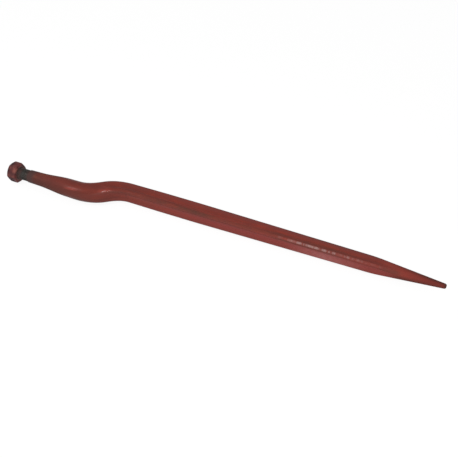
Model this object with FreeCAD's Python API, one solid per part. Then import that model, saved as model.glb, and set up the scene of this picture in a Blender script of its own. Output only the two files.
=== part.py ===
import FreeCAD, Part
import math
import os
from FreeCAD import Vector

# A cranked loader tine: one forged steel bar with a threaded stud, a conical seat,
# a sideways crank, a four-ribbed bar and a drawn point, and one hex nut on the stud.
# Millimetres. +X runs along the shank towards the point, +Z is up, and the tine lies on its side.
# The origin is on the shank axis, where the thread ends and the conical seat begins.
# Every piece is drawn with the crank in the XY plane, then rolled about the shank to how it rests.

# Overall
OVERALL_LENGTH = 820.0

# Stud, where the fine M22 x 1.5 thread is cut
STUD_RADIUS = 11.0
STUD_LENGTH = 43.5
STUD_END_CHAMFER = 1.5

# Seat and shank, as lengths from the end of the thread
NECK_START_RADIUS = 12.1
CONE_START_X = 32.0
CONE_START_RADIUS = 12.85
CONE_END_X = 74.0
CONE_END_RADIUS = 16.9
SHANK_RADIUS = 17.6
SEAT_BLEND_RADIUS = 240.0

# Crank, two equal bends in the horizontal plane
CRANK_START_X = 104.0
CRANK_OFFSET = 33.0
CRANK_TURN = math.radians(38.0)
CRANK_SWELL = 1.7

# Bar section, four rounded ribs with hollow flutes between them
RIB_REACH = 18.0
RIB_TIP_RADIUS = 4.6
FLUTE_FLOOR = 12.1
BAR_RISE_LENGTH = 60.0
BAR_TAPER_START_X = 330.0

# Point
POINT_LENGTH = 117.5
POINT_START_REACH = 14.6
POINT_BLEND_LENGTH = 12.0
TIP_RADIUS = 4.2
NOSE_LENGTH = 3.5
NOSE_FLAT_RADIUS = 1.6

# Nut, fine-pitch hexagon 34 mm across flats
NUT_ACROSS_FLATS = 34.0
NUT_THICKNESS = 18.0
NUT_STUD_SHOWING = 2.5
NUT_TURN = math.radians(22.0)
NUT_CHAMFER_ANGLE = math.radians(30.0)
NUT_FACE_RATIO = 0.95
NUT_COUNTERSINK = 0.9
THREAD_CLEARANCE = 0.08

# Roll about the shank when the tine lies on the ground, on the swell of its crank and the outer rib
REST_ROLL_DEGREES = -2.7

# How finely the curved stretches are sectioned
CRANK_SECTIONS = 16
POINT_SECTIONS = 12

# Sizes that follow from the ones above
STUD_END_X = -STUD_LENGTH
TIP_X = OVERALL_LENGTH - STUD_LENGTH
POINT_START_X = TIP_X - POINT_LENGTH
CRANK_RADIUS = CRANK_OFFSET / (2.0 * (1.0 - math.cos(CRANK_TURN)))
CRANK_END_X = CRANK_START_X + 2.0 * CRANK_RADIUS * math.sin(CRANK_TURN)
NOSE_START_X = TIP_X - NOSE_LENGTH
ROUND_NORMAL = math.radians(22.5)


def line(start, end):
    return Part.LineSegment(start, end).toShape()


def arc(start, middle, end):
    return Part.Arc(start, middle, end).toShape()


def revolved(outline):
    """Solid made by turning a closed outline, given in the XZ plane, about the X axis."""
    face = Part.Face(Part.Wire(outline))
    return face.revolve(Vector(0, 0, 0), Vector(1, 0, 0), 360)


def corner_blend(before, corner, after, radius):
    """Start, middle and end of the arc that rounds the corner of two straight lines."""
    back = (before - corner).normalize()
    ahead = (after - corner).normalize()
    half_angle = back.getAngle(ahead) / 2.0
    reach = radius / math.tan(half_angle)
    inward = (back + ahead).normalize()
    middle = corner + inward * (radius / math.sin(half_angle) - radius)
    return corner + back * reach, middle, corner + ahead * reach


def round_shank():
    """Stud, neck, conical seat and round shank, turned in one outline."""
    stud_end = Vector(STUD_END_X, 0, STUD_RADIUS - STUD_END_CHAMFER)
    stud_edge = Vector(STUD_END_X + STUD_END_CHAMFER, 0, STUD_RADIUS)
    thread_end = Vector(0, 0, STUD_RADIUS)
    neck_start = Vector(NECK_START_RADIUS - STUD_RADIUS, 0, NECK_START_RADIUS)
    cone_start = Vector(CONE_START_X, 0, CONE_START_RADIUS)
    cone_end = Vector(CONE_END_X, 0, CONE_END_RADIUS)
    shank_end = Vector(CRANK_START_X, 0, SHANK_RADIUS)
    lower = corner_blend(neck_start, cone_start, cone_end, SEAT_BLEND_RADIUS)
    upper = corner_blend(cone_start, cone_end, shank_end, SEAT_BLEND_RADIUS)
    axis_start = Vector(STUD_END_X, 0, 0)
    axis_end = Vector(CRANK_START_X, 0, 0)
    return revolved([
        line(axis_start, stud_end),
        line(stud_end, stud_edge),
        line(stud_edge, thread_end),
        line(thread_end, neck_start),
        line(neck_start, lower[0]),
        arc(*lower),
        line(lower[2], upper[0]),
        arc(*upper),
        line(upper[2], shank_end),
        line(shank_end, axis_end),
        line(axis_end, axis_start),
    ])


def rib_normal(reach, tip_radius, floor):
    """Angle of the outline's normal where a rib arc meets a flute arc; below zero is hollow."""
    rib_centre = (reach - tip_radius) / math.sqrt(2.0)
    return 2.0 * math.atan((floor - tip_radius) / rib_centre - 1.0)


def ribbed_wire(place, reach, floor, normal_angle):
    """Section of four ribs on the diagonals, with the rib arcs and flute arcs tangent."""
    share = (1.0 + math.tan(normal_angle / 2.0)) / math.sqrt(2.0)
    tip_radius = (floor - share * reach) / (1.0 - share)
    rib_centre = (reach - tip_radius) / math.sqrt(2.0)
    joint_across = rib_centre + tip_radius * math.cos(normal_angle)
    joint_up = rib_centre + tip_radius * math.sin(normal_angle)
    diagonal = reach / math.sqrt(2.0)
    quarter = [
        ((joint_across, -joint_up), (floor, 0.0), (joint_across, joint_up)),
        ((joint_across, joint_up), (diagonal, diagonal), (joint_up, joint_across)),
    ]
    edges = []
    for turn in range(4):
        cosine = round(math.cos(turn * math.pi / 2.0))
        sine = round(math.sin(turn * math.pi / 2.0))
        for points in quarter:
            turned = [(y * cosine - z * sine, y * sine + z * cosine) for y, z in points]
            edges.append(arc(*[place(y, z) for y, z in turned]))
    return Part.Wire(edges)


def straight_place(x):
    """Section plane square to the bar, at x."""
    return lambda y, z: Vector(x, CRANK_OFFSET + y, z)


def crank_place(share):
    """Section plane square to the crank's path, share running from 0 to 1 along it."""
    if share <= 0.5:
        heading = 2.0 * share * CRANK_TURN
        x = CRANK_START_X + CRANK_RADIUS * math.sin(heading)
        side = CRANK_RADIUS * (1.0 - math.cos(heading))
    else:
        heading = 2.0 * (1.0 - share) * CRANK_TURN
        x = CRANK_END_X - CRANK_RADIUS * math.sin(heading)
        side = CRANK_OFFSET - CRANK_RADIUS * (1.0 - math.cos(heading))
    return lambda y, z: Vector(x - y * math.sin(heading), side + y * math.cos(heading), z)


def eased(share):
    return share * share * (3.0 - 2.0 * share)


def blended_wire(place, reach, flute_share):
    """Section between round, at flute_share 0, and the bar's full flutes, at 1."""
    full_normal = rib_normal(RIB_REACH, RIB_TIP_RADIUS, FLUTE_FLOOR)
    normal_angle = ROUND_NORMAL + (full_normal - ROUND_NORMAL) * flute_share
    floor = reach * (1.0 + (FLUTE_FLOOR / RIB_REACH - 1.0) * flute_share)
    return ribbed_wire(place, reach, floor, normal_angle)


def crank():
    """S-bend, thickest at its middle, in which the flutes grow out of the round shank."""
    wires = []
    for step in range(CRANK_SECTIONS + 1):
        share = step / CRANK_SECTIONS
        reach = SHANK_RADIUS + CRANK_SWELL * math.sin(share * math.pi) ** 2
        wires.append(blended_wire(crank_place(share), reach, eased(share)))
    return Part.makeLoft(wires, True, False)


def point_reach(x):
    """Rib reach from the bar's taper into the point's taper, rounded where they meet."""
    bar_slope = (POINT_START_REACH - RIB_REACH) / (POINT_START_X - BAR_TAPER_START_X)
    point_slope = (TIP_RADIUS - POINT_START_REACH) / (TIP_X - POINT_START_X)
    past = x - POINT_START_X
    if past <= -POINT_BLEND_LENGTH:
        return POINT_START_REACH + bar_slope * past
    if past >= POINT_BLEND_LENGTH:
        return POINT_START_REACH + point_slope * past
    dip = (past + POINT_BLEND_LENGTH) ** 2 / (4.0 * POINT_BLEND_LENGTH)
    return POINT_START_REACH + bar_slope * past + (point_slope - bar_slope) * dip


def bar():
    """Straight ribbed bar: it rises to full size after the crank, then is drawn to a slow taper."""
    end_x = POINT_START_X - POINT_BLEND_LENGTH
    stations = [
        (CRANK_END_X, SHANK_RADIUS),
        (CRANK_END_X + BAR_RISE_LENGTH, RIB_REACH),
        (BAR_TAPER_START_X, RIB_REACH),
        (end_x, point_reach(end_x)),
    ]
    wires = [blended_wire(straight_place(x), reach, 1.0) for x, reach in stations]
    return Part.makeLoft(wires, True, True)


def point():
    """Drawn point: the ribs are forged down until the flutes run out, then it is round."""
    start_x = POINT_START_X - POINT_BLEND_LENGTH
    start_reach = point_reach(start_x)
    floor = start_reach * FLUTE_FLOOR / RIB_REACH
    full_depth = 1.0 - FLUTE_FLOOR / RIB_REACH
    wires = []
    for step in range(POINT_SECTIONS + 1):
        x = start_x + (NOSE_START_X - start_x) * step / POINT_SECTIONS
        reach = point_reach(x)
        left = max(0.0, (1.0 - floor / reach) / full_depth)
        wires.append(blended_wire(straight_place(x), reach, eased(min(1.0, left))))
    return Part.makeLoft(wires, True, False)


def nose():
    """Blunt rounded end of the point."""
    radius = point_reach(NOSE_START_X)
    bulge = math.sqrt(0.5)
    start = Vector(NOSE_START_X, 0, radius)
    middle_out = NOSE_FLAT_RADIUS + (radius - NOSE_FLAT_RADIUS) * bulge
    middle = Vector(NOSE_START_X + NOSE_LENGTH * bulge, 0, middle_out)
    end = Vector(TIP_X, 0, NOSE_FLAT_RADIUS)
    foot = Vector(NOSE_START_X, 0, 0)
    tip = Vector(TIP_X, 0, 0)
    shape = revolved([line(foot, start), arc(start, middle, end), line(end, tip), line(tip, foot)])
    shape.translate(Vector(0, CRANK_OFFSET, 0))
    return shape


def tine():
    pieces = [crank(), bar(), point(), nose()]
    return round_shank().fuse(pieces).removeSplitter()


def hex_nut():
    """Hexagon nut, chamfered on both faces, turned on its thread by NUT_TURN."""
    outer_x = STUD_END_X + NUT_STUD_SHOWING
    inner_x = outer_x + NUT_THICKNESS
    corner = NUT_ACROSS_FLATS / math.sqrt(3.0)
    corners = []
    for index in range(7):
        angle = NUT_TURN + (index + 0.5) * math.pi / 3.0
        corners.append(Vector(outer_x, corner * math.cos(angle), corner * math.sin(angle)))
    prism = Part.Face(Part.makePolygon(corners)).extrude(Vector(NUT_THICKNESS, 0, 0))
    face_radius = NUT_FACE_RATIO * NUT_ACROSS_FLATS / 2.0
    chamfer = (corner - face_radius) * math.tan(NUT_CHAMFER_ANGLE)
    limit = revolved([
        line(Vector(outer_x, 0, 0), Vector(outer_x, 0, face_radius)),
        line(Vector(outer_x, 0, face_radius), Vector(outer_x + chamfer, 0, corner)),
        line(Vector(outer_x + chamfer, 0, corner), Vector(inner_x - chamfer, 0, corner)),
        line(Vector(inner_x - chamfer, 0, corner), Vector(inner_x, 0, face_radius)),
        line(Vector(inner_x, 0, face_radius), Vector(inner_x, 0, 0)),
        line(Vector(inner_x, 0, 0), Vector(outer_x, 0, 0)),
    ])
    bore = STUD_RADIUS + THREAD_CLEARANCE
    mouth = bore + NUT_COUNTERSINK
    hole = revolved([
        line(Vector(outer_x, 0, 0), Vector(outer_x, 0, mouth)),
        line(Vector(outer_x, 0, mouth), Vector(outer_x + NUT_COUNTERSINK, 0, bore)),
        line(Vector(outer_x + NUT_COUNTERSINK, 0, bore), Vector(inner_x - NUT_COUNTERSINK, 0, bore)),
        line(Vector(inner_x - NUT_COUNTERSINK, 0, bore), Vector(inner_x, 0, mouth)),
        line(Vector(inner_x, 0, mouth), Vector(inner_x, 0, 0)),
        line(Vector(inner_x, 0, 0), Vector(outer_x, 0, 0)),
    ])
    return prism.common(limit).cut(hole)


os.makedirs("parts", exist_ok=True)
for name, shape in {"tine": tine(), "hex_nut": hex_nut()}.items():
    shape.rotate(Vector(0, 0, 0), Vector(1, 0, 0), REST_ROLL_DEGREES)
    print(name, shape.isValid(), len(shape.Solids), round(shape.Volume))
    shape.exportStep("parts/" + name + ".step")
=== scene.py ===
import functools
import math

import bpy
from mathutils import Matrix, Vector


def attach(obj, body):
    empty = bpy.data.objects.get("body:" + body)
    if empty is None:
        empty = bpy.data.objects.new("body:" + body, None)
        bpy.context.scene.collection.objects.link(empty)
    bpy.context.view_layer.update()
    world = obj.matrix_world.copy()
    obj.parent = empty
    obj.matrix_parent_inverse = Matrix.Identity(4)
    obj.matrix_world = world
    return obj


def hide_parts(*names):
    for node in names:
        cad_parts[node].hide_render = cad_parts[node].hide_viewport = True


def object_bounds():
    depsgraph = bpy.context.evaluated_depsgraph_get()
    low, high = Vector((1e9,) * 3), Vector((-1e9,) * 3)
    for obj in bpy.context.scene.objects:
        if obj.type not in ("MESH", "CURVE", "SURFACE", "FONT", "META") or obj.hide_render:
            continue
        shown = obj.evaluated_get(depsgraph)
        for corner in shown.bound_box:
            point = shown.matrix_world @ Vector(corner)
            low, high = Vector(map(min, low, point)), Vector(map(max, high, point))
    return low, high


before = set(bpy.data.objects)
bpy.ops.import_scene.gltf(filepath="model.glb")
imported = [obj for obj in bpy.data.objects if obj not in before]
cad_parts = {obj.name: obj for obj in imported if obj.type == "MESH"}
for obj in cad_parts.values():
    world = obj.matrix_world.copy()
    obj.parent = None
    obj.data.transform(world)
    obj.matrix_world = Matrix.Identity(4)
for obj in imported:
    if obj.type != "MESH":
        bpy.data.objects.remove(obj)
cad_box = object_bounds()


# The forging: one length of round steel with a conical seat, a sideways crank, a four-ribbed bar
# and a drawn point. It is hot forged in dies, so its surface is slightly uneven, and it is
# painted all over, apart from the thread.
MM = 0.001
SEAT_START = 0.0
NECK_START_RADIUS = 12.1 * MM
CONE_START = (32.0 * MM, 12.85 * MM)
CONE_END = (74.0 * MM, 16.9 * MM)
SHANK_RADIUS = 17.6 * MM
CRANK_START = 104.0 * MM
CRANK_OFFSET = 33.0 * MM
CRANK_TURN = math.radians(38.0)
CRANK_SWELL = 1.7 * MM
RIB_REACH = 18.0 * MM
RIB_TIP_RADIUS = 4.6 * MM
FLUTE_FLOOR = 12.1 * MM
BAR_RISE_LENGTH = 60.0 * MM
BAR_TAPER_START = 330.0 * MM
POINT_START = 659.0 * MM
POINT_START_REACH = 14.6 * MM
TIP_END = cad_box[1][0]
TIP_RADIUS = 4.2 * MM
NOSE_LENGTH = 3.5 * MM
NOSE_FLAT_RADIUS = 1.6 * MM
REST_ROLL = math.radians(-2.7)


class NodeTree:
    """A node tree with short calls for adding nodes and wiring them up."""

    def __init__(self, tree):
        self.tree = tree

    def node(self, kind, inputs=(), **settings):
        made = self.tree.nodes.new(kind)
        for name, value in settings.items():
            setattr(made, name, value)
        for key, value in dict(inputs).items():
            self.feed(made.inputs[key], value)
        return made

    def feed(self, socket, value):
        if isinstance(value, bpy.types.NodeSocket):
            self.tree.links.new(value, socket)
        elif value is not None:
            socket.default_value = value

    def math(self, operation, first, second=None, third=None):
        made = self.node("ShaderNodeMath", {0: first, 1: second, 2: third}, operation=operation)
        return made.outputs[0]

    def chain(self, operation, *values):
        return functools.reduce(functools.partial(self.math, operation), values)

    def total(self, *values):
        return self.chain("ADD", *values)

    def product(self, *values):
        return self.chain("MULTIPLY", *values)

    def largest(self, *values):
        return self.chain("MAXIMUM", *values)

    def minus(self, first, second):
        return self.math("SUBTRACT", first, second)

    def ratio(self, first, second):
        return self.math("DIVIDE", first, second)

    def choose(self, share, first, second):
        """The first value where the share is 0, and the second where it is 1."""
        return self.math("MULTIPLY_ADD", share, self.minus(second, first), first)

    def span(self, value, low, high, to_low=0.0, to_high=1.0, easing="LINEAR"):
        made = self.node("ShaderNodeMapRange", interpolation_type=easing)
        for index, item in enumerate((value, low, high, to_low, to_high)):
            self.feed(made.inputs[index], item)
        return made.outputs[0]

    def near(self, value, line, fade):
        """A fade that goes by the distance from a line, on either side of it."""
        return self.span(self.math("ABSOLUTE", self.minus(value, line)), *fade)

    def window(self, value, run):
        """A run: one fade brings a layer in, and the other takes it away."""
        fade_in, fade_out = run
        return self.product(self.span(value, *fade_in), self.span(value, *fade_out))


def noise(web, place, scale, detail=4.0, roughness=0.6, stretch=None, shift=0.0):
    """Noise over the skin, which can be stretched, and shifted along the tine."""
    if stretch is not None:
        moved = {"Vector": place, "Location": (shift, 0.0, 0.0), "Scale": stretch}
        place = web.node("ShaderNodeMapping", moved).outputs[0]
    settings = {"Vector": place, "Scale": scale, "Detail": detail, "Roughness": roughness}
    return web.node("ShaderNodeTexNoise", settings).outputs["Fac"]


def colour_mix(web, share, first, second):
    """The first colour where the share is 0, and the second where it is 1, by the Mix node's
    sockets for colours."""
    made = web.node("ShaderNodeMix", data_type="RGBA")
    web.feed(made.inputs[0], share)
    web.feed(made.inputs[6], first)
    web.feed(made.inputs[7], second)
    return made.outputs[2]


class Coat:
    """A material laid on in layers: its colour so far, and where each spot of the skin lies."""

    def __init__(self, name, colour):
        self.material = bpy.data.materials.new(name)
        self.material.use_nodes = True
        self.material.node_tree.nodes.clear()
        self.web = NodeTree(self.material.node_tree)
        self.shader = self.web.node("ShaderNodeBsdfPrincipled")
        self.output = self.web.node("ShaderNodeOutputMaterial")
        self.web.feed(self.output.inputs["Surface"], self.shader.outputs["BSDF"])
        self.place = self.web.node("ShaderNodeTexCoord").outputs["Object"]
        self.along, self.aside, self.height = self.web.node("ShaderNodeSeparateXYZ", {0: self.place}).outputs
        self.colour = colour

    def patches(self, scale, edges, shares=(0.0, 1.0), **settings):
        """Uneven patches, which go from the first share to the second between a noise's two edges."""
        return self.web.span(noise(self.web, self.place, scale, **settings), *edges, *shares)

    def lay(self, colour, share, strength=1.0):
        """Lays a colour over the coat, as thickly as its share and strength say."""
        self.colour = colour_mix(self.web, self.web.product(share, strength), self.colour, colour)

    def finish(self, roughness, specular, bump, pattern):
        """Wires up the shader. The bump is its strength and its depth in metres."""
        strength, depth = bump
        uneven = self.web.node("ShaderNodeBump", {"Strength": strength, "Distance": depth, "Height": pattern})
        self.web.feed(self.shader.inputs["Base Color"], self.colour)
        self.web.feed(self.shader.inputs["Roughness"], roughness)
        self.web.feed(self.shader.inputs["Normal"], uneven.outputs[0])
        self.shader.inputs["Specular IOR Level"].default_value = specular
        return self.material


RED = (0.162, 0.0265, 0.018, 1.0)
DEEP_RED = (0.134, 0.023, 0.016, 1.0)
# Grime, which is also laid as painted shade in the crank's crease and under the front rib's crest.
GRIME_AND_SHADE = (0.054, 0.024, 0.018, 1.0)
WORN_BROWN = (0.120, 0.038, 0.020, 1.0)
MOTTLE = (0.108, 0.0235, 0.019, 1.0)
# Painted shade in the ribs' feet.
RIB_FOOT_SHADE = (0.115, 0.024, 0.019, 1.0)
# Painted shade, laid on the seat, the shank, the point and the tip, underneath and along the point's top
# edge.
SEAT_SHADE = (0.052, 0.018, 0.014, 1.0)
NECK_GRIME = (0.044, 0.0235, 0.0215, 1.0)
# Painted highlight on top of the point's start.
POINT_HIGHLIGHT_RED = (0.195, 0.032, 0.022, 1.0)
# Painted highlight: the warm light of the two glints on the shank and in the bend.
GLINT_RED = (0.270, 0.050, 0.038, 1.0)
POINT_RED = (0.130, 0.0163, 0.0123, 1.0)
# Painted shade: the darker, cooler red of the bar's lower flank.
COOL_RED = (0.136, 0.0255, 0.0225, 1.0)
# Painted light: a lighter red in the groove above the front rib, which lies in the rib's shade.
LIT_GROOVE_RED = (0.205, 0.0310, 0.0220, 1.0)
# Painted shade on the bar's rear and underside.
EDGE_SHADE = (0.060, 0.024, 0.023, 1.0)
# Pale dashes on the front rib's crest: partly scuffs, partly a painted highlight.
SCUFF_AND_HIGHLIGHT = (0.232, 0.158, 0.149, 1.0)
# Dust on the lower flank, with a painted sheen.
DUST_AND_SHEEN_RED = (0.205, 0.077, 0.074, 1.0)

# Layers of the paint fade along the tine, up it, across its front rib or round its section. A fade
# is two places in metres, or two turns in radians, and a layer's strength at each where that isn't
# nothing and full. A run is two fades: one brings a layer in, and the other takes it away.
FRONT_RIB_DIRECTION = 0.75 * math.pi
ABOVE_FRONT_RIB = FRONT_RIB_DIRECTION - math.pi / 2.0
FRONT_RIB_SIDE = (0.0, math.cos(ABOVE_FRONT_RIB + REST_ROLL), math.sin(ABOVE_FRONT_RIB + REST_ROLL))
FRONT_RIB_LINE = CRANK_OFFSET * math.cos(ABOVE_FRONT_RIB)
REAR_HALF_START = CRANK_OFFSET + 3.0 * MM
BROAD_NOISE = dict(scale=14.0, roughness=0.55, stretch=(0.6, 2.0, 2.0))


def fade_from(start, first, last, *strengths):
    """A fade whose two places are given in millimetres from a start."""
    return (start + first * MM, start + last * MM, *strengths)


class ForgingCoat(Coat):
    """The forging's paint, which also knows where each spot lies on the ribs."""

    def __init__(self, name, colour):
        super().__init__(name, colour)
        web = self.web
        self.broad = noise(web, self.place, **BROAD_NOISE)
        self.foot = web.node("ShaderNodeAttribute", attribute_name="rib_foot").outputs["Fac"]
        self.turn = web.node("ShaderNodeAttribute", attribute_name="from_front_rib").outputs["Fac"]
        self.facing = web.math("LESS_THAN", self.aside, REAR_HALF_START)

        # How far a spot is from the front rib's crest, measured over the rib, up and to the rear.
        side = {0: self.place, 1: FRONT_RIB_SIDE}
        off_line = web.node("ShaderNodeVectorMath", side, operation="DOT_PRODUCT").outputs["Value"]
        self.across = web.minus(off_line, FRONT_RIB_LINE)

    def streak(self, reading, line, width, run):
        """A line of wear along the tine, which fades to its sides over its width."""
        return self.web.product(self.web.near(reading, line, width), self.web.window(self.along, run))


SHANK_RUN = (0.05, 0.29, 1.15, 0.0)
SHANK_STRONGEST = 0.85
SHANK_SIDE = (0.015, 0.0105, 0.42, 0.66)
SHANK_UNDERSIDE = (0.0, -0.005, 0.0, 0.25)
POINT_RUN = fade_from(POINT_START, -19.0, 41.0, 0.0, 0.80)
POINT_UNDERSIDE = (0.004, -0.004, 0.45, 1.0)
POINT_REAR = (0.0065, 0.0125)
POINT_TAPER = (POINT_START_REACH - TIP_RADIUS) / (TIP_END - POINT_START)
POINT_RED_RUN = fade_from(POINT_START, 21.0, 46.0, 0.0, 0.85)
TIP_RUN = fade_from(TIP_END, -9.5, -2.5, 0.0, 0.95)


def shade_shank_and_point(coat):
    """Painted shade darkens the shank and the point underneath, the point along its top edge, and the tip's
    end.
    """
    web = coat.web
    under = web.total(web.span(coat.height, *SHANK_SIDE), web.span(coat.height, *SHANK_UNDERSIDE))
    shank = web.product(web.math("MINIMUM", web.span(coat.along, *SHANK_RUN), SHANK_STRONGEST), under)
    past_start = web.minus(coat.along, POINT_START)
    rear = web.span(web.math("MULTIPLY_ADD", past_start, POINT_TAPER, coat.across), *POINT_REAR)
    point_under = web.largest(web.span(coat.height, *POINT_UNDERSIDE), rear)
    point = web.product(web.span(coat.along, *POINT_RUN), point_under)
    coat.lay(POINT_RED, web.span(coat.along, *POINT_RED_RUN))
    coat.lay(SEAT_SHADE, web.largest(shank, point, web.span(coat.along, *TIP_RUN)))


COOL_FLANK = (-0.002, -0.005)
COOL_RUN = ((0.24, 0.36, 0.0, 0.85), fade_from(POINT_START, 41.0, 16.0))
BAR_REAR = (0.0085, 0.0140)
BAR_REAR_RUN = (0.25, 0.60, 0.22, 0.65)
BAR_UNDERSIDE = (-0.0115, -0.0155, 0.0, 0.20)
BAR_RUN_START = (0.17, 0.21)
BAR_RUN_END = POINT_START + 41.0 * MM


def shade_bar(coat):
    """Painted shade: the bar's lower flank is a darker, cooler red, and its rear and underside are darker."""
    web = coat.web
    coat.lay(COOL_RED, web.product(web.span(coat.across, *COOL_FLANK), web.window(coat.along, COOL_RUN)))
    rear = web.product(web.span(coat.across, *BAR_REAR), web.span(coat.along, *BAR_REAR_RUN))
    outer = web.largest(rear, web.span(coat.across, *BAR_UNDERSIDE))
    before_end = web.math("LESS_THAN", coat.along, BAR_RUN_END)
    coat.lay(EDGE_SHADE, web.product(outer, web.span(coat.along, *BAR_RUN_START), before_end))


POINT_HIGHLIGHT_RUN = (fade_from(POINT_START, 1.0, 21.0), fade_from(POINT_START, 91.0, 41.0))
POINT_HIGHLIGHT_TOP = (-0.001, 0.004)
POINT_HIGHLIGHT_STRENGTH = 0.42


def paint_point_start_highlight(coat):
    """Painted highlight: the paint is lighter on top where the point begins."""
    web = coat.web
    point_highlight = web.product(web.window(coat.along, POINT_HIGHLIGHT_RUN), web.span(coat.height, *POINT_HIGHLIGHT_TOP))
    coat.lay(POINT_HIGHLIGHT_RED, point_highlight, POINT_HIGHLIGHT_STRENGTH)


SEAT_RUN = (0.02, 0.13, 0.85, 0.0)
SEAT_UNDERSIDE = (0.0125, 0.004, 0.30, 1.0)
WORN_RUN = (0.048, 0.016)
WORN_TOP = (0.0082, 0.0115)
WORN_STRENGTH = 0.8
WORN_SPOTS = dict(scale=60.0, edges=(0.47, 0.60), detail=5.0, roughness=0.65)
NECK_NOISE_SCALE = 45.0
NECK_RAGGEDNESS = 0.016
NECK_RUN = (0.017, 0.027, 0.9, 0.0)
UNDERSIDE_NEAR_THREAD_RUN = (0.066, 0.050)
UNDERSIDE_NEAR_THREAD = (-0.003, -0.010)
UNDERSIDE_OFF_WORN_SPOTS = (0.8, 0.2)


def wear_seat(coat):
    """Painted shade darkens the seat underneath. The seat is worn to a browner paint, dark with thread grease
    where the thread ends, and darker underneath towards the thread.
    """
    web = coat.web
    # Painted shade: darker underneath.
    shaded = web.product(web.span(coat.along, *SEAT_RUN), web.span(coat.height, *SEAT_UNDERSIDE))
    coat.lay(SEAT_SHADE, shaded)
    spots = coat.patches(**WORN_SPOTS)
    worn = web.product(web.span(coat.along, *WORN_RUN), web.span(coat.height, *WORN_TOP), spots)
    coat.lay(WORN_BROWN, worn, WORN_STRENGTH)
    # Darker underneath towards the thread.
    uneven = noise(web, coat.place, NECK_NOISE_SCALE)
    ragged = web.math("MULTIPLY_ADD", uneven, NECK_RAGGEDNESS, coat.along)
    near_thread = web.product(web.span(coat.height, *UNDERSIDE_NEAR_THREAD), web.span(ragged, *UNDERSIDE_NEAR_THREAD_RUN))
    near_thread = web.product(near_thread, web.span(spots, *UNDERSIDE_OFF_WORN_SPOTS))
    coat.lay(NECK_GRIME, web.largest(web.span(ragged, *NECK_RUN), near_thread))


PAINTED_GLINTS = (
    dict(middle=(0.092, 0.0122), slant=0.09, run=((0.081, 0.095), (0.115, 0.104)), rear_limit=0.0),
    dict(middle=(0.159, 0.0134), slant=-0.105, run=((0.147, 0.157), (0.172, 0.162)), rear_limit=0.016),
)
GLINT_WIDTH = (0.0024, 0.0006)
GLINT_STRENGTH = 0.36


def paint_glints_on_shank_and_bend(coat):
    """Painted highlights: a lighter, warmer red under the two glints, where the seat ends and in the middle
    of the bend.
    """
    web = coat.web
    for spot in PAINTED_GLINTS:
        middle_x, middle_height = spot["middle"]
        off_middle = web.minus(coat.along, middle_x)
        line = web.math("MULTIPLY_ADD", off_middle, spot["slant"], middle_height)
        in_front = web.math("LESS_THAN", coat.aside, spot["rear_limit"])
        rub_and_glint = web.product(coat.streak(coat.height, line, GLINT_WIDTH, spot["run"]), in_front)
        coat.lay(GLINT_RED, rub_and_glint, GLINT_STRENGTH)


RIB_FOOT_SHADE_PATCHES = dict(scale=40.0, edges=(0.3, 0.6), shares=(0.2, 0.9), stretch=(0.2, 1.0, 1.0))
GROOVE_TURNS = (-0.8, 0.0)
GROOVE_RUN = ((0.28, 0.36), (0.54, 0.46))


def light_and_shade_rib_feet(coat):
    """Painted shade darkens the ribs' feet in patches, and painted light gives the groove above the front rib
    a lighter red.
    """
    web = coat.web
    past_first = web.math("GREATER_THAN", coat.turn, GROOVE_TURNS[0])
    before_last = web.math("LESS_THAN", coat.turn, GROOVE_TURNS[1])
    groove = web.product(past_first, before_last, web.window(coat.along, GROOVE_RUN))
    colour = colour_mix(web, groove, RIB_FOOT_SHADE, LIT_GROOVE_RED)
    coat.lay(colour, web.product(coat.foot, coat.patches(**RIB_FOOT_SHADE_PATCHES)))


CREST_GRIME_LINE = (0.42, 0.50, -0.0003, 0.0040)
CREST_GRIME_WIDTH = (0.0052, 0.0020)
CREST_GRIME_RUN = ((0.155, 0.245), fade_from(POINT_START, -9.0, -69.0))
CREST_GRIME_THICKEST = ((0.235, 0.285, 0.5, 1.0), (0.390, 0.340, 0.5, 1.0))
CREST_PATCHES = dict(scale=55.0, edges=(0.36, 0.58), shares=(0.45, 1.0), stretch=(0.5, 1.0, 1.0))
RIB_END_RUN = (fade_from(POINT_START, 5.0, 17.0), fade_from(POINT_START, 49.0, 35.0))
RIB_END_GRIME = dict(line=-0.0015, width=(0.0048, 0.0018, 0.0, 0.65), run=RIB_END_RUN)
SHADE_UNDER_CREST = dict(line=-0.0028, width=(0.0020, 0.0008, 0.0, 0.60), run=((0.470, 0.495), (0.620, 0.585)))
CREASE_SHADE = dict(line=0.22, width=(0.16, 0.05, 0.0, 0.45), run=((0.150, 0.170), (0.250, 0.205)))
GRIME_AND_SHADE_STRENGTH = 0.80
SPECKS = dict(scale=220.0, edges=(0.60, 0.70), detail=6.0, roughness=0.7)
SPECK_STRENGTH = 0.5


def soil_and_shade_front_rib(coat):
    """Grime is rubbed along the front rib, over its crest and then on its upper flank towards the point,
    and where it runs out. Painted shade darkens the crease that it grows out of and a line just under
    its crest. Specks of grime are everywhere."""
    web = coat.web
    thickness = web.product(coat.patches(**CREST_PATCHES), web.window(coat.along, CREST_GRIME_THICKEST))
    crest_line = web.span(coat.along, *CREST_GRIME_LINE)
    crest = coat.streak(coat.across, crest_line, CREST_GRIME_WIDTH, CREST_GRIME_RUN)
    rib_end = coat.streak(coat.across, **RIB_END_GRIME)
    low = coat.streak(coat.across, **SHADE_UNDER_CREST)
    crease = coat.streak(coat.turn, **CREASE_SHADE)
    grime_and_shade = web.largest(web.product(crest, thickness), rib_end, low, crease)
    coat.lay(GRIME_AND_SHADE, web.product(grime_and_shade, coat.facing), GRIME_AND_SHADE_STRENGTH)
    coat.lay(GRIME_AND_SHADE, coat.patches(**SPECKS), SPECK_STRENGTH)


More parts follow.
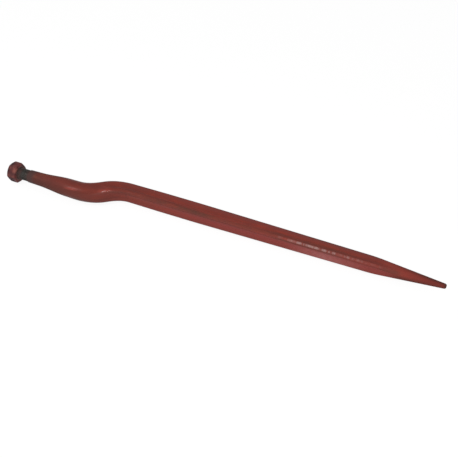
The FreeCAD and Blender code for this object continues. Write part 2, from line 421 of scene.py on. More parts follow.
DULL_RUN = ((0.520, 0.580), fade_from(POINT_START, 41.0, 21.0))
DULL_CREST = dict(line=0.0, width=(0.0034, 0.0014), run=DULL_RUN)
DULL_STRENGTH = 0.40
SCUFF_AND_HIGHLIGHT_RUN = ((0.480, 0.530), fade_from(POINT_START, 21.0, -84.0))
SCUFFED_AND_LIT_CREST = dict(line=0.0, width=(0.0026, 0.0010), run=SCUFF_AND_HIGHLIGHT_RUN)
DASH_SHAPE = dict(detail=2.0, roughness=0.5, stretch=(1.0, 0.15, 0.15), shift=0.091)
DASHES = dict(scale=200.0, edges=(0.42, 0.58), shares=(0.10, 1.0), **DASH_SHAPE)
SCUFF_AND_HIGHLIGHT_STRENGTH = 0.61
DUST_AND_SHEEN_PATCHES = dict(scale=150.0, edges=(0.35, 0.60), shares=(0.55, 1.0))
DUST_AND_SHEEN_FLANK = (-0.003, -0.007)
DUST_AND_SHEEN_RUN = ((0.505, 0.570), fade_from(POINT_START, -9.0, -74.0))
DUST_AND_SHEEN_STRENGTH = 0.60


def scuff_and_light_front_rib(coat):
    """Short pale dashes lie on the front rib's dulled crest, partly scuffs and partly a painted highlight,
    and dust with a painted sheen on the flank below them.
    The share of each spot that is dulled crest is handed back."""
    web = coat.web
    dulled = coat.streak(coat.across, **DULL_CREST)
    coat.lay(MOTTLE, dulled, DULL_STRENGTH)
    scuffs_and_highlight = web.product(coat.streak(coat.across, **SCUFFED_AND_LIT_CREST), coat.patches(**DASHES))
    coat.lay(SCUFF_AND_HIGHLIGHT, web.product(scuffs_and_highlight, coat.facing), SCUFF_AND_HIGHLIGHT_STRENGTH)
    # Dust with a painted sheen on the lower flank.
    flank = web.product(web.span(coat.across, *DUST_AND_SHEEN_FLANK), web.window(coat.along, DUST_AND_SHEEN_RUN))
    coat.lay(DUST_AND_SHEEN_RED, web.product(coat.patches(**DUST_AND_SHEEN_PATCHES), flank, coat.facing), DUST_AND_SHEEN_STRENGTH)
    return dulled


PAINT_ROUGHNESS = (0.3, 0.7, 0.20, 0.27)
SEAT_DULLNESS = (0.076, 0.100, 0.36, 0.0)
SHANK_DULLNESS = (0.105, 0.130, 0.08, 0.04)
POINT_DULLNESS = fade_from(POINT_START, 1.0, 41.0, 0.0, 0.55)
FOOT_DULLNESS = 0.45
CREST_DULLNESS = 0.30
BEND_MIDDLE = 0.157
BEND_GLOSS = (0.018, 0.040, -0.10, 0.0)


def paint_roughness(coat, dulled_crest):
    """The paint is dull on the seat, the point, the ribs' feet and the worn crest, and glossiest
    in the bend."""
    web = coat.web
    return web.total(
        web.span(coat.broad, *PAINT_ROUGHNESS),
        web.largest(web.span(coat.along, *SEAT_DULLNESS), web.span(coat.along, *SHANK_DULLNESS)),
        web.span(coat.along, *POINT_DULLNESS),
        web.product(coat.foot, FOOT_DULLNESS),
        web.product(dulled_crest, CREST_DULLNESS),
        web.near(coat.along, BEND_MIDDLE, BEND_GLOSS),
    )


DEEP_RED_EDGES = (0.35, 0.7)
MOTTLE_PATCHES = dict(scale=85.0, edges=(0.40, 0.62), roughness=0.65, stretch=(0.4, 1.0, 1.0))
MOTTLE_STRENGTH = 0.62
PAINT_SPECULAR = 0.07
PAINT_BUMP = (0.12, 0.6 * MM)
DIMPLES = dict(scale=60.0, detail=3.0, roughness=0.5)


def red_paint():
    """Two reds in broad patches, mottled, with the dirt and wear of each stretch laid over them."""
    coat = ForgingCoat("dark red gloss paint", RED)
    coat.lay(DEEP_RED, coat.web.span(coat.broad, *DEEP_RED_EDGES))
    coat.lay(MOTTLE, coat.patches(**MOTTLE_PATCHES), MOTTLE_STRENGTH)
    shade_shank_and_point(coat)
    shade_bar(coat)
    paint_point_start_highlight(coat)
    wear_seat(coat)
    paint_glints_on_shank_and_bend(coat)
    light_and_shade_rib_feet(coat)
    soil_and_shade_front_rib(coat)
    roughness = paint_roughness(coat, scuff_and_light_front_rib(coat))
    return coat.finish(roughness, PAINT_SPECULAR, PAINT_BUMP, noise(coat.web, coat.place, **DIMPLES))


FORGING_SIZES = {
    "Seat start radius": NECK_START_RADIUS,
    "Cone start": CONE_START[0],
    "Cone start radius": CONE_START[1],
    "Cone end": CONE_END[0],
    "Cone end radius": CONE_END[1],
    "Shank radius": SHANK_RADIUS,
    "Crank start": CRANK_START,
    "Crank offset": CRANK_OFFSET,
    "Crank turn": CRANK_TURN,
    "Crank swell": CRANK_SWELL,
    "Bar rise": BAR_RISE_LENGTH,
    "Rib reach": RIB_REACH,
    "Rib tip radius": RIB_TIP_RADIUS,
    "Flute floor": FLUTE_FLOOR,
    "Taper start": BAR_TAPER_START,
    "Point start": POINT_START,
    "Point start reach": POINT_START_REACH,
    "Tip end": TIP_END,
    "Tip radius": TIP_RADIUS,
    "Nose length": NOSE_LENGTH,
    "Nose flat radius": NOSE_FLAT_RADIUS,
}
FORGING_RINGS = 760
FORGING_RING_POINTS = 96
END_SHARE = 0.001
LENGTH_SHARES = (0.004, 0.985)
NOSE_SHARES = (0.985, 0.997)
SEAT_BLEND = 10.0 * MM
POINT_BLEND = 12.0 * MM
QUARTER_TURN = math.pi / 2.0
EIGHTH_TURN = math.pi / 4.0
SIXTEENTH_TURN = math.pi / 8.0
DIAGONAL = math.sqrt(2.0)
SMALLEST_NORMAL = 0.0001
RIB_FOOT_WIDTH = (0.03, 0.20, 1.0, 0.0)
MERGE_DISTANCE = 0.001 * MM


def geometry_tree(name, sizes):
    """Geometry Nodes tree whose group inputs are the named sizes."""
    tree = bpy.data.node_groups.new(name, "GeometryNodeTree")
    tree.interface.new_socket("Geometry", in_out="INPUT", socket_type="NodeSocketGeometry")
    for label in sizes:
        tree.interface.new_socket(label, in_out="INPUT", socket_type="NodeSocketFloat")
    tree.interface.new_socket("Geometry", in_out="OUTPUT", socket_type="NodeSocketGeometry")
    return tree


def wrapped_grid(web, rings, ring_points):
    """A grid to wrap round an axis, each point's share of its length, from 0 to 1, and the share
    of a turn that the point is from the grid's middle, either way."""
    grid = web.node("GeometryNodeMeshGrid", {0: 1.0, 1: 1.0, 2: rings, 3: ring_points + 1})
    spot = web.node("ShaderNodeSeparateXYZ", {0: web.node("GeometryNodeInputPosition").outputs[0]})
    return grid.outputs[0], web.total(spot.outputs[0], 0.5), spot.outputs[1]


def between_ends(web, share):
    """Nothing on the first and the last ring, which close the skin's ends, and 1 between them."""
    past_first = web.math("GREATER_THAN", share, END_SHARE)
    return web.product(past_first, web.math("LESS_THAN", share, 1.0 - END_SHARE))


def finish_skin(web, skin, place, material):
    """Moves the grid's points to their places, closes the skin and gives it its material."""
    moved = web.node("GeometryNodeSetPosition", {"Geometry": skin, "Position": place})
    doubles = {"Geometry": moved.outputs[0], "Distance": MERGE_DISTANCE}
    closed = web.node("GeometryNodeMergeByDistance", doubles)
    real = web.node("GeometryNodeRealizeInstances", {0: closed.outputs[0]})
    painted = web.node("GeometryNodeSetMaterial", {"Geometry": real.outputs[0], "Material": material})
    web.feed(web.node("NodeGroupOutput").inputs[0], painted.outputs[0])


def mesh_from_tree(name, tree, sizes, material):
    """Runs a tree on an empty object with its sizes set, and keeps the result as a plain mesh."""
    holder = bpy.data.objects.new(name + "_tree", bpy.data.meshes.new(name + "_tree"))
    bpy.context.scene.collection.objects.link(holder)
    modifier = holder.modifiers.new("Nodes", "NODES")
    modifier.node_group = tree
    for item in tree.interface.items_tree:
        if item.in_out == "INPUT" and item.name in sizes:
            modifier[item.identifier] = sizes[item.name]
    evaluated = holder.evaluated_get(bpy.context.evaluated_depsgraph_get())
    mesh = bpy.data.meshes.new_from_object(evaluated)
    bpy.data.objects.remove(holder)
    mesh.name = name
    mesh.materials.clear()
    mesh.materials.append(material)
    piece = bpy.data.objects.new(name, mesh)
    bpy.context.scene.collection.objects.link(piece)
    return piece


class Bend:
    """The crank: two equal arcs in the horizontal plane, and how far round them each ring is."""

    def __init__(self, web, size, x):
        self.web = web
        self.full_turn = size["Crank turn"]
        fall = web.minus(1.0, web.math("COSINE", self.full_turn))
        self.radius = web.ratio(size["Crank offset"], web.product(fall, 2.0))
        arc_run = web.product(self.radius, web.math("SINE", self.full_turn))
        arc_length = web.product(self.radius, self.full_turn)
        self.run = web.product(arc_run, 2.0)
        self.end = web.total(size["Crank start"], self.run)
        self.share = web.span(x, size["Crank start"], self.end)
        past_start = web.minus(x, size["Crank start"])
        travel = web.product(past_start, web.ratio(arc_length, arc_run))
        first = web.span(travel, 0.0, arc_length, 0.0, arc_length)
        second = web.span(travel, arc_length, web.product(arc_length, 2.0), 0.0, arc_length)
        self.first = web.ratio(first, self.radius)
        self.second = web.ratio(second, self.radius)

    def place(self, x, across, height):
        """Where a ring's point lies once the ring is moved aside and turned with the bend."""
        web = self.web
        left_to_turn = web.minus(self.full_turn, self.second)
        heading = web.minus(self.first, self.second)
        first_aside = web.minus(1.0, web.math("COSINE", self.first))
        second_aside = web.minus(web.math("COSINE", left_to_turn), web.math("COSINE", self.full_turn))
        aside = web.product(self.radius, web.total(first_aside, second_aside))
        second_ahead = web.minus(web.math("SINE", self.full_turn), web.math("SINE", left_to_turn))
        ahead = web.product(self.radius, web.total(web.math("SINE", self.first), second_ahead))
        axis_x = web.total(x, web.minus(ahead, web.product(self.share, self.run)))
        place_x = web.minus(axis_x, web.product(across, web.math("SINE", heading)))
        place_y = web.math("MULTIPLY_ADD", across, web.math("COSINE", heading), aside)
        return web.node("ShaderNodeCombineXYZ", {0: place_x, 1: place_y, 2: height}).outputs[0]


def rounded_knee(web, x, knee, blend):
    """How far x is past a knee, easing in over the blend on either side of it."""
    past = web.minus(x, knee)
    reach = web.span(past, -blend, blend, 0.0, 2.0 * blend)
    eased = web.ratio(web.product(reach, reach), 4.0 * blend)
    return web.total(eased, web.largest(web.minus(past, blend), 0.0))


def slope(web, start, end):
    """The slope of the straight taper from one corner to the next."""
    rise = web.minus(end[1], start[1])
    return web.ratio(rise, web.minus(end[0], start[0]))


def tapered_reach(web, size, x, bend):
    """Reach of the section from its axis, in straight tapers with rounded knees, and the bar's slope."""
    corners = (
        (SEAT_START, size["Seat start radius"]),
        (size["Cone start"], size["Cone start radius"]),
        (size["Cone end"], size["Cone end radius"]),
        (size["Crank start"], size["Shank radius"]),
        (bend.end, size["Shank radius"]),
        (web.total(bend.end, size["Bar rise"]), size["Rib reach"]),
        (size["Taper start"], size["Rib reach"]),
        (size["Point start"], size["Point start reach"]),
        (size["Tip end"], size["Tip radius"]),
    )
    slopes = [slope(web, start, end) for start, end in zip(corners, corners[1:])]
    reach = web.math("MULTIPLY_ADD", x, slopes[0], size["Seat start radius"])
    for index, (before, after) in enumerate(zip(slopes, slopes[1:])):
        blend = POINT_BLEND if after is slopes[-1] else SEAT_BLEND
        past_knee = rounded_knee(web, x, corners[index + 1][0], blend)
        reach = web.math("MULTIPLY_ADD", past_knee, web.minus(after, before), reach)
    swell = web.math("SINE", web.product(bend.share, math.pi))
    reach = web.math("MULTIPLY_ADD", web.product(swell, swell), size["Crank swell"], reach)
    return reach, slopes[-2]


def flute_share(web, size, x, reach, bend, bar_slope, depth):
    """Flutes: none on the shank, full on the bar, and gone where the point's taper meets them."""
    grown = web.span(bend.share, 0.0, 1.0, easing="SMOOTHSTEP")
    last_reach = web.math("MULTIPLY_ADD", bar_slope, -POINT_BLEND, size["Point start reach"])
    last_floor = web.product(last_reach, web.minus(1.0, depth))
    left = web.ratio(web.minus(1.0, web.ratio(last_floor, reach)), depth)
    left = web.span(left, 0.0, 1.0, easing="SMOOTHSTEP")
    on_point = web.math("GREATER_THAN", x, web.minus(size["Point start"], POINT_BLEND))
    return web.product(grown, web.choose(on_point, 1.0, left))


def arc_point(web, radius, direction, centre_out, centre_up):
    """Where an arc's point lies in a direction from the arc's centre, out and up."""
    out = web.math("MULTIPLY_ADD", radius, web.math("COSINE", direction), centre_out)
    return out, web.math("MULTIPLY_ADD", radius, web.math("SINE", direction), centre_up)


def quarter_point(web, size, reach, fluted, depth, angle, from_flute):
    """A point of the section, out and up from a flute's middle: rib arcs and flute arcs that meet
    with a common normal. The angle picks a normal, so points gather on the tight rib tips."""
    rib_centre = web.ratio(web.minus(size["Rib reach"], size["Rib tip radius"]), DIAGONAL)
    floor_share = web.ratio(web.minus(size["Flute floor"], size["Rib tip radius"]), rib_centre)

    # The normal where the arcs meet goes from a round section's to the full flute's, and the rib's
    # tip gets the radius that puts the flute's floor in its place.
    full_normal = web.product(web.math("ARCTANGENT", web.minus(floor_share, 1.0)), 2.0)
    normal = web.span(fluted, 0.0, 1.0, SIXTEENTH_TURN, full_normal)
    floor = web.product(reach, web.minus(1.0, web.product(depth, fluted)))
    half_tangent = web.math("TANGENT", web.ratio(normal, 2.0))
    reach_share = web.ratio(web.total(half_tangent, 1.0), DIAGONAL)
    floor_left = web.minus(floor, web.product(reach_share, reach))
    tip = web.ratio(floor_left, web.minus(1.0, reach_share))
    centre = web.ratio(web.minus(reach, tip), DIAGONAL)

    rib_normal = web.span(from_flute, SIXTEENTH_TURN, EIGHTH_TURN, normal, EIGHTH_TURN)
    rib_out, rib_up = arc_point(web, tip, rib_normal, centre, centre)
    joint_out, joint_up = arc_point(web, tip, normal, centre, centre)
    too_small = web.math("LESS_THAN", web.math("ABSOLUTE", normal), SMALLEST_NORMAL)
    safe_normal = web.math("MULTIPLY_ADD", too_small, 2.0 * SMALLEST_NORMAL, normal)
    flute_radius = web.ratio(joint_up, web.math("SINE", safe_normal))
    flute_depth = web.product(flute_radius, web.math("COSINE", safe_normal))
    flute_normal = web.span(from_flute, 0.0, SIXTEENTH_TURN, 0.0, normal)
    flute_centre = web.minus(joint_out, flute_depth)
    flute_out, flute_up = arc_point(web, flute_radius, flute_normal, flute_centre, 0.0)

    on_rib = web.math("GREATER_THAN", from_flute, SIXTEENTH_TURN)
    side = web.math("SIGN", web.math("WRAP", angle, EIGHTH_TURN, -EIGHTH_TURN))
    return web.choose(on_rib, flute_out, rib_out), web.product(web.choose(on_rib, flute_up, rib_up), side)


def turned_point(web, out, up, angle, inside):
    """A quarter's point turned to its own quarter of the section, or drawn in to close an end."""
    quarter = web.math("FLOOR", web.ratio(web.total(angle, EIGHTH_TURN), QUARTER_TURN))
    quarter = web.product(quarter, QUARTER_TURN)
    cosine = web.product(web.math("COSINE", quarter), inside)
    sine = web.product(web.math("SINE", quarter), inside)
    across = web.minus(web.product(out, cosine), web.product(up, sine))
    return across, web.total(web.product(out, sine), web.product(up, cosine))


def forging_tree(paint):
    """A grid wrapped round the tine's axis: each ring's place, turn and section follow from its x."""
    tree = geometry_tree("forged tine", FORGING_SIZES)
    web = NodeTree(tree)
    size = web.node("NodeGroupInput").outputs
    skin, share, turn = wrapped_grid(web, FORGING_RINGS, FORGING_RING_POINTS)
    angle = web.product(turn, -math.tau)
    from_flute = web.math("PINGPONG", angle, EIGHTH_TURN)

    # Length along the tine before it is bent. The last rings turn over the nose.
    nose_start = web.minus(size["Tip end"], size["Nose length"])
    x = web.span(share, *LENGTH_SHARES, SEAT_START, nose_start)
    nose_turn = web.span(share, *NOSE_SHARES, 0.0, QUARTER_TURN)
    past_nose = web.math("GREATER_THAN", share, NOSE_SHARES[0])

    bend = Bend(web, size, x)
    reach, bar_slope = tapered_reach(web, size, x, bend)
    nose_fall = web.minus(reach, size["Nose flat radius"])
    nose_reach = web.math("MULTIPLY_ADD", web.math("COSINE", nose_turn), nose_fall, size["Nose flat radius"])
    reach = web.choose(past_nose, reach, nose_reach)
    x = web.math("MULTIPLY_ADD", web.math("SINE", nose_turn), size["Nose length"], x)

    depth = web.minus(1.0, web.ratio(size["Flute floor"], size["Rib reach"]))
    fluted = flute_share(web, size, x, reach, bend, bar_slope, depth)
    out, up = quarter_point(web, size, reach, fluted, depth, angle, from_flute)
    across, height = turned_point(web, out, up, angle, between_ends(web, share))

    # What the paint goes by: how near a spot is to a rib's foot, and its turn from the front rib.
    foot = web.product(web.near(from_flute, SIXTEENTH_TURN, RIB_FOOT_WIDTH), fluted)
    from_front = web.math("WRAP", web.minus(angle, FRONT_RIB_DIRECTION), math.pi, -math.pi)
    for name, value in (("rib_foot", foot), ("from_front_rib", from_front)):
        mark = {"Geometry": skin, "Name": name, "Value": value}
        skin = web.node("GeometryNodeStoreNamedAttribute", mark, data_type="FLOAT", domain="POINT").outputs[0]
    finish_skin(web, skin, bend.place(x, across, height), paint)
    return tree


paint = red_paint()
forging = mesh_from_tree("forged_tine", forging_tree(paint), FORGING_SIZES, paint)
forging.data.transform(Matrix.Rotation(REST_ROLL, 4, "X"))
forging.data.shade_smooth()
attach(forging, "root")
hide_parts("tine")


# The stud: the end of the same forging, turned down and cut with a fine M22 x 1.5 thread. The steel
# is left bare and oiled, and red paint has reached it by the seat and by the nut.
STUD_RADIUS = 11.0 * MM
STUD_LENGTH = -cad_box[0][0]
STUD_END_CHAMFER = 1.5 * MM
STUD_ROOT_OVERLAP = 2.0 * MM
THREAD_PITCH = 1.5 * MM
THREAD_DEPTH = 0.92 * MM
STUD_RINGS = 610
STUD_RING_POINTS = 64
STUD_LENGTH_SHARES = (0.01, 0.99)
THREAD_FLANK = (0.04, 0.42)
THREAD_RUNOUT_TURNS = 1.5
STUD_SIZES = {
    "Stud radius": STUD_RADIUS,
    "Stud length": STUD_LENGTH,
    "End chamfer": STUD_END_CHAMFER,
    "Root overlap": STUD_ROOT_OVERLAP,
    "Thread pitch": THREAD_PITCH,
    "Thread depth": THREAD_DEPTH,
}


def stud_tree(steel):
    """A grid wrapped round the shank's axis, sunk along a helix to make the thread."""
    tree = geometry_tree("cut thread", STUD_SIZES)
    web = NodeTree(tree)
    size = web.node("NodeGroupInput").outputs
    skin, share, from_middle = wrapped_grid(web, STUD_RINGS, STUD_RING_POINTS)
    turn = web.total(from_middle, 0.5)
    stud_end = web.product(size["Stud length"], -1.0)
    x = web.span(share, *STUD_LENGTH_SHARES, stud_end, size["Root overlap"])

    # Cut of the thread: full in a groove's middle, and running out towards the seat.
    phase = web.minus(web.ratio(x, size["Thread pitch"]), turn)
    groove = web.span(web.math("PINGPONG", phase, 0.5), *THREAD_FLANK)
    runout = web.span(x, web.product(size["Thread pitch"], -THREAD_RUNOUT_TURNS), 0.0, 1.0, 0.0)
    cut = web.product(groove, runout, size["Thread depth"])
    from_end = web.total(x, size["Stud length"])
    chamfer = web.largest(web.minus(size["End chamfer"], from_end), 0.0)
    reach = web.minus(size["Stud radius"], web.largest(cut, chamfer))

    reach = web.product(reach, between_ends(web, share))
    angle = web.product(turn, -math.tau)
    aside, height = arc_point(web, reach, angle, 0.0, 0.0)
    place = web.node("ShaderNodeCombineXYZ", {0: x, 1: aside, 2: height})
    finish_skin(web, skin, place.outputs[0], steel)
    return tree


STEEL = (0.062, 0.057, 0.051, 1.0)
# Oil, and painted shade low down on the thread.
DARK_OIL_AND_SHADE = (0.022, 0.0185, 0.0170, 1.0)
OVERSPRAY = (0.056, 0.027, 0.023, 1.0)
THREAD_SHADE_LOW_DOWN = (0.008, 0.001)
OVERSPRAY_BY_SEAT = (-0.008, 0.0)
OVERSPRAY_BY_NUT = (-0.013, -0.018)
OIL_PATCHES = dict(scale=120.0, edges=(0.35, 0.65), detail=5.0)
OVERSPRAY_PATCHES = dict(scale=90.0, edges=(0.35, 0.55), shares=(0.4, 0.95))
STEEL_METALLIC = (0.5, 0.1)
STEEL_ROUGHNESS = (0.45, 0.75)
STEEL_SPECULAR = 0.3
STEEL_BUMP = (0.2, 0.2 * MM)


def thread_steel():
    """Bare steel under patches of oil, with painted shade low down, and red paint over its ends."""
    coat = Coat("oiled thread steel", STEEL)
    web = coat.web
    oil_and_shade = web.largest(coat.patches(**OIL_PATCHES), web.span(coat.height, *THREAD_SHADE_LOW_DOWN))
    coat.lay(DARK_OIL_AND_SHADE, oil_and_shade)
    ends = web.largest(web.span(coat.along, *OVERSPRAY_BY_SEAT), web.span(coat.along, *OVERSPRAY_BY_NUT))
    coat.lay(OVERSPRAY, web.product(ends, coat.patches(**OVERSPRAY_PATCHES)))
    web.feed(coat.shader.inputs["Metallic"], web.span(oil_and_shade, 0.0, 1.0, *STEEL_METALLIC))
    return coat.finish(web.span(oil_and_shade, 0.0, 1.0, *STEEL_ROUGHNESS), STEEL_SPECULAR, STEEL_BUMP, oil_and_shade)


steel = thread_steel()
stud = mesh_from_tree("threaded_stud", stud_tree(steel), STUD_SIZES, steel)
stud.data.transform(Matrix.Rotation(REST_ROLL, 4, "X"))
stud.data.shade_smooth()
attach(stud, "root")
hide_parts("tine")


# The nut: a forged hexagon nut, 34 mm across its flats, chamfered on both faces and dipped in
# the same red paint. It is run up the thread by hand and left short of the seat.
NUT_FLATS = 6
NUT_ACROSS_FLATS = 34.0 * MM
NUT_THICKNESS = 18.0 * MM
NUT_STUD_SHOWING = 2.5 * MM
NUT_OUTER_FACE = -STUD_LENGTH + NUT_STUD_SHOWING
NUT_INNER_FACE = NUT_OUTER_FACE + NUT_THICKNESS
NUT_TURN = math.radians(22.0)
NUT_CHAMFER_ANGLE = math.radians(30.0)
NUT_FACE_SHARE = 0.95
NUT_FACE_RADIUS = NUT_FACE_SHARE * NUT_ACROSS_FLATS / 2.0
NUT_CLEARANCE = 0.08 * MM
NUT_BORE_RADIUS = STUD_RADIUS + NUT_CLEARANCE
NUT_COUNTERSINK = 0.9 * MM
NUT_EDGE_ROUNDING = 0.7 * MM
NUT_ROUNDING_STEPS = 3
NUT_SHARP_ANGLE = math.radians(25.0)
NUT_STEPS_PER_FLAT = 16


def nut_profile(off_flat):
    """Places and radii from the bore's inner end over both faces to its outer end, at a turn from
    the nearest flat's middle."""
    mouth = NUT_BORE_RADIUS + NUT_COUNTERSINK
    flat = NUT_ACROSS_FLATS / 2.0 / math.cos(off_flat)
    fall = (flat - NUT_FACE_RADIUS) * math.tan(NUT_CHAMFER_ANGLE)
    return (
        (NUT_INNER_FACE - NUT_COUNTERSINK, NUT_BORE_RADIUS),
        (NUT_INNER_FACE, mouth),
        (NUT_INNER_FACE, NUT_FACE_RADIUS),
        (NUT_INNER_FACE - fall, flat),
        (NUT_OUTER_FACE + fall, flat),
        (NUT_OUTER_FACE, NUT_FACE_RADIUS),
        (NUT_OUTER_FACE, mouth),
        (NUT_OUTER_FACE + NUT_COUNTERSINK, NUT_BORE_RADIUS),
    )


def nut_mesh(paint):
    """The nut's profiles all round its axis, joined to one another in a closed ring."""
    count = NUT_FLATS * NUT_STEPS_PER_FLAT
    flat_turn = math.tau / NUT_FLATS
    vertices = []
    faces = []
    for index in range(count):
        angle = index * math.tau / count
        off_flat = (angle + flat_turn / 2.0) % flat_turn - flat_turn / 2.0
        turned = angle + NUT_TURN
        profile = nut_profile(off_flat)
        vertices += [(x, radius * math.cos(turned), radius * math.sin(turned)) for x, radius in profile]
        size = len(profile)
        here = index * size
        after = (index + 1) % count * size
        for step in range(size):
            beyond = (step + 1) % size
            faces.append((here + step, here + beyond, after + beyond, after + step))
    mesh = bpy.data.meshes.new("hexagon_nut")
    mesh.from_pydata(vertices, [], faces)
    mesh.materials.append(paint)
    return mesh


NUT_RED = (0.092, 0.019, 0.017, 1.0)
# Dark patches, and painted shade below and towards the outer end.
NUT_DARK = (0.030, 0.011, 0.013, 1.0)
NUT_EDGE_RED = (0.205, 0.060, 0.045, 1.0)
# Painted highlight on the nut's top.
NUT_HIGHLIGHT = (0.185, 0.062, 0.046, 1.0)
# A greyer tone round the bore.
NUT_BORE_GREY = (0.086, 0.046, 0.038, 1.0)
NUT_PATCHES = dict(scale=70.0, edges=(0.38, 0.62))
NUT_PATCH_STRENGTH = 0.6
NUT_DARK_BELOW = (0.0135, 0.0080, 0.0, 0.92)
NUT_DARK_OUTWARDS = fade_from(NUT_OUTER_FACE, 11.0, 2.0, 0.0, 0.9)
NUT_LIGHTER_PLACES = (
    dict(height=(0.001, -0.005), along=fade_from(NUT_INNER_FACE, -8.0, -4.0), strength=0.55),
    dict(height=(0.0110, 0.0060), along=fade_from(NUT_INNER_FACE, -3.2, -1.0), strength=0.75),
)
NUT_CORNERS = fade_from(NUT_ACROSS_FLATS / 2.0, 0.0, 1.5)
NUT_CORNER_HEIGHT = (-0.004, 0.008)
NUT_CORNER_PATCHES = (0.9, 0.2, 0.1, 0.45)
NUT_HIGHLIGHT_ALONG = fade_from(NUT_INNER_FACE, -7.5, -4.0)
NUT_HIGHLIGHT_ASIDE = (-0.003, -0.007)
NUT_HIGHLIGHT_HEIGHT = ((0.0085, 0.0125), (0.018, 0.015))
NUT_HIGHLIGHT_STRENGTH = 0.6
NUT_BORE_GREY_RADIUS = (0.0155, 0.0120)
NUT_BORE_GREY_ALONG = fade_from(NUT_INNER_FACE, -7.0, -1.0)
NUT_BORE_GREY_STRENGTH = 0.75
NUT_ROUGHNESS = (0.34, 0.48)
NUT_DARK_ROUGHNESS = 0.4
NUT_SPECULAR = 0.12
NUT_BUMP = (0.2, 0.5 * MM)


def nut_paint():
    """Patchy paint, with painted shade all over except on top and towards the seat, rubbed corners, a
    painted highlight on top and a greyer tone round the bore."""
    coat = Coat("dark red nut paint", NUT_RED)
    web = coat.web
    along = coat.along
    aside = coat.aside
    height = coat.height
    from_axis = web.math("SQRT", web.total(web.product(aside, aside), web.product(height, height)))
    patches = coat.patches(**NUT_PATCHES)
    coat.lay(NUT_DARK, patches, NUT_PATCH_STRENGTH)
    # Painted shade: darker below and towards the outer end, less so in two lighter places.
    dark = web.largest(web.span(height, *NUT_DARK_BELOW), web.span(along, *NUT_DARK_OUTWARDS))
    for place in NUT_LIGHTER_PLACES:
        lighter = web.product(web.span(height, *place["height"]), web.span(along, *place["along"]))
        dark = web.product(dark, web.math("MULTIPLY_ADD", lighter, -place["strength"], 1.0))
    coat.lay(NUT_DARK, dark)
    rub_and_glint = web.product(web.span(from_axis, *NUT_CORNERS), web.span(patches, *NUT_CORNER_PATCHES))
    coat.lay(NUT_EDGE_RED, web.product(rub_and_glint, web.span(height, *NUT_CORNER_HEIGHT)))
    # Painted highlight on the front flat near the top, towards the inner face.
    nut_highlight = web.product(web.span(along, *NUT_HIGHLIGHT_ALONG), web.span(aside, *NUT_HIGHLIGHT_ASIDE))
    coat.lay(NUT_HIGHLIGHT, web.product(nut_highlight, web.window(height, NUT_HIGHLIGHT_HEIGHT)), NUT_HIGHLIGHT_STRENGTH)
    # A greyer tone round the bore, on the inner face.
    near_thread = web.product(web.span(from_axis, *NUT_BORE_GREY_RADIUS), web.span(along, *NUT_BORE_GREY_ALONG))
    coat.lay(NUT_BORE_GREY, near_thread, NUT_BORE_GREY_STRENGTH)
    roughness = web.span(patches, 0.0, 1.0, *NUT_ROUGHNESS)
    roughness = web.math("MULTIPLY_ADD", dark, NUT_DARK_ROUGHNESS, roughness)
    return coat.finish(roughness, NUT_SPECULAR, NUT_BUMP, patches)


nut = bpy.data.objects.new("hexagon_nut", nut_mesh(nut_paint()))
bpy.context.scene.collection.objects.link(nut)
nut.data.transform(Matrix.Rotation(REST_ROLL, 4, "X"))
nut.data.update()
rounding = nut.modifiers.new("edge rounding", "BEVEL")
rounding.width = NUT_EDGE_ROUNDING
rounding.segments = NUT_ROUNDING_STEPS
rounding.limit_method = "ANGLE"
rounding.angle_limit = NUT_SHARP_ANGLE
nut.data.shade_smooth()
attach(nut, "root")
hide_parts("hex_nut")


# The floor and the room: a pale studio sheet in an even white room, as in a catalogue picture.
# The sheet and the room show as white behind the tine, and light it no more than a plain room.
FLOOR_HEIGHT = cad_box[0][2]
FLOOR_REACH = 8.0
SHEET_GREY = (0.8, 0.8, 0.8, 1.0)
SHEET_ROUGHNESS = 0.9
SHEET_GLOW_SHARE = 0.9
WHITE = (1.0, 1.0, 1.0, 1.0)


def seeing_rays(web):
    """Which rays see the room, straight or by way of gloss or glass, and which only by that way."""
    path = web.node("ShaderNodeLightPath").outputs
    mirrored = web.largest(path["Is Glossy Ray"], path["Is Transmission Ray"])
    return web.largest(path["Is Camera Ray"], mirrored), mirrored


def white_sheet():
    """Pale grey under the lamps, so that it takes a shadow, and mostly plain white to the camera."""
    coat = Coat("white sheet", SHEET_GREY)
    coat.shader.inputs["Base Color"].default_value = coat.colour
    coat.shader.inputs["Roughness"].default_value = SHEET_ROUGHNESS
    glow = coat.web.node("ShaderNodeEmission", {"Color": WHITE, "Strength": 1.0})
    share = coat.web.product(seeing_rays(coat.web)[0], SHEET_GLOW_SHARE)
    blend = coat.web.node("ShaderNodeMixShader", {0: share, 1: coat.shader.outputs[0], 2: glow.outputs[0]})
    coat.web.feed(coat.output.inputs["Surface"], blend.outputs[0])
    return coat.material


sides = ((-1, -1), (1, -1), (1, 1), (-1, 1))
floor_corners = [(x * FLOOR_REACH, y * FLOOR_REACH, FLOOR_HEIGHT) for x, y in sides]
floor_mesh = bpy.data.meshes.new("floor")
floor_mesh.from_pydata(floor_corners, [], [range(len(floor_corners))])
floor_mesh.materials.append(white_sheet())
floor = bpy.data.objects.new("floor", floor_mesh)
bpy.context.scene.collection.objects.link(floor)

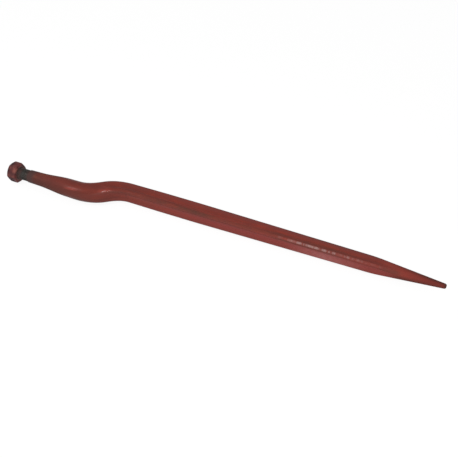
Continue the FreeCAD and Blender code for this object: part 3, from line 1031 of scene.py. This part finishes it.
ROOM_SHADE = (0.22, 0.22, 0.22, 1.0)
ROOM_SHADE_RISE = (0.03, 0.45)
ROOM_LIGHT = (0.95, 1.0)
world = bpy.data.worlds.new("studio")
bpy.context.scene.world = world
world.use_nodes = True
world.node_tree.nodes.clear()
room = NodeTree(world.node_tree)
seen, mirrored = seeing_rays(room)
direction = room.node("ShaderNodeTexCoord").outputs["Generated"]
upward = room.node("ShaderNodeSeparateXYZ", {0: direction}).outputs[2]
shade = room.product(room.span(upward, *ROOM_SHADE_RISE), mirrored)
room_colour = colour_mix(room, shade, WHITE, ROOM_SHADE)
strength = room.span(seen, 0.0, 1.0, *ROOM_LIGHT)
back = room.node("ShaderNodeBackground", {"Color": room_colour, "Strength": strength})
room.feed(room.node("ShaderNodeOutputWorld").inputs[0], back.outputs[0])


# The camera and the lamps: the picture is taken from in front and above, and a little from the
# point's side. Two small soft lamps give the two glints in the crank, and a low one lights the bar.
CAMERA_TARGET = Vector((0.4024, 0.017, -0.0009))
CAMERA_DISTANCE = 1.10
CAMERA_HEIGHT = math.radians(46.58)
CAMERA_TURN = math.radians(22.41)
FOCAL_PIXELS = 625.7
FRAME_PIXELS = 458.0
SENSOR_WIDTH = 36.0
LAMPS = (
    dict(name="front lamp", location=(0.84, -0.90, 1.05), target=(0.30, 0.03, 0.0), size=0.13, power=11.0),
    dict(name="left lamp", location=(-0.63, -0.62, 1.08), target=(0.15, 0.0, 0.0), size=0.16, power=6.5),
    dict(name="low lamp", location=(1.00, -1.60, 0.45), target=(0.50, 0.0, 0.0), size=1.0, power=7.5),
)


def stand(holder, location, target):
    """Puts a camera or a lamp in its place, turned to its target."""
    holder.location = location
    holder.rotation_mode = "QUATERNION"
    holder.rotation_quaternion = (Vector(target) - Vector(location)).to_track_quat("-Z", "Y")
    bpy.context.scene.collection.objects.link(holder)


camera_data = bpy.data.cameras.new("camera")
camera_data.sensor_width = SENSOR_WIDTH
camera_data.lens = SENSOR_WIDTH * FOCAL_PIXELS / FRAME_PIXELS
camera = bpy.data.objects.new("camera", camera_data)
level = Vector((math.sin(CAMERA_TURN), -math.cos(CAMERA_TURN), 0.0)) * math.cos(CAMERA_HEIGHT)
look = level + Vector((0.0, 0.0, math.sin(CAMERA_HEIGHT)))
stand(camera, CAMERA_TARGET + look * CAMERA_DISTANCE, CAMERA_TARGET)
bpy.context.scene.camera = camera

for place in LAMPS:
    lamp = bpy.data.lights.new(place["name"], "AREA")
    lamp.shape = "SQUARE"
    lamp.size = place["size"]
    lamp.energy = place["power"]
    stand(bpy.data.objects.new(place["name"], lamp), place["location"], place["target"])

bpy.context.scene.view_settings.view_transform = "Standard"
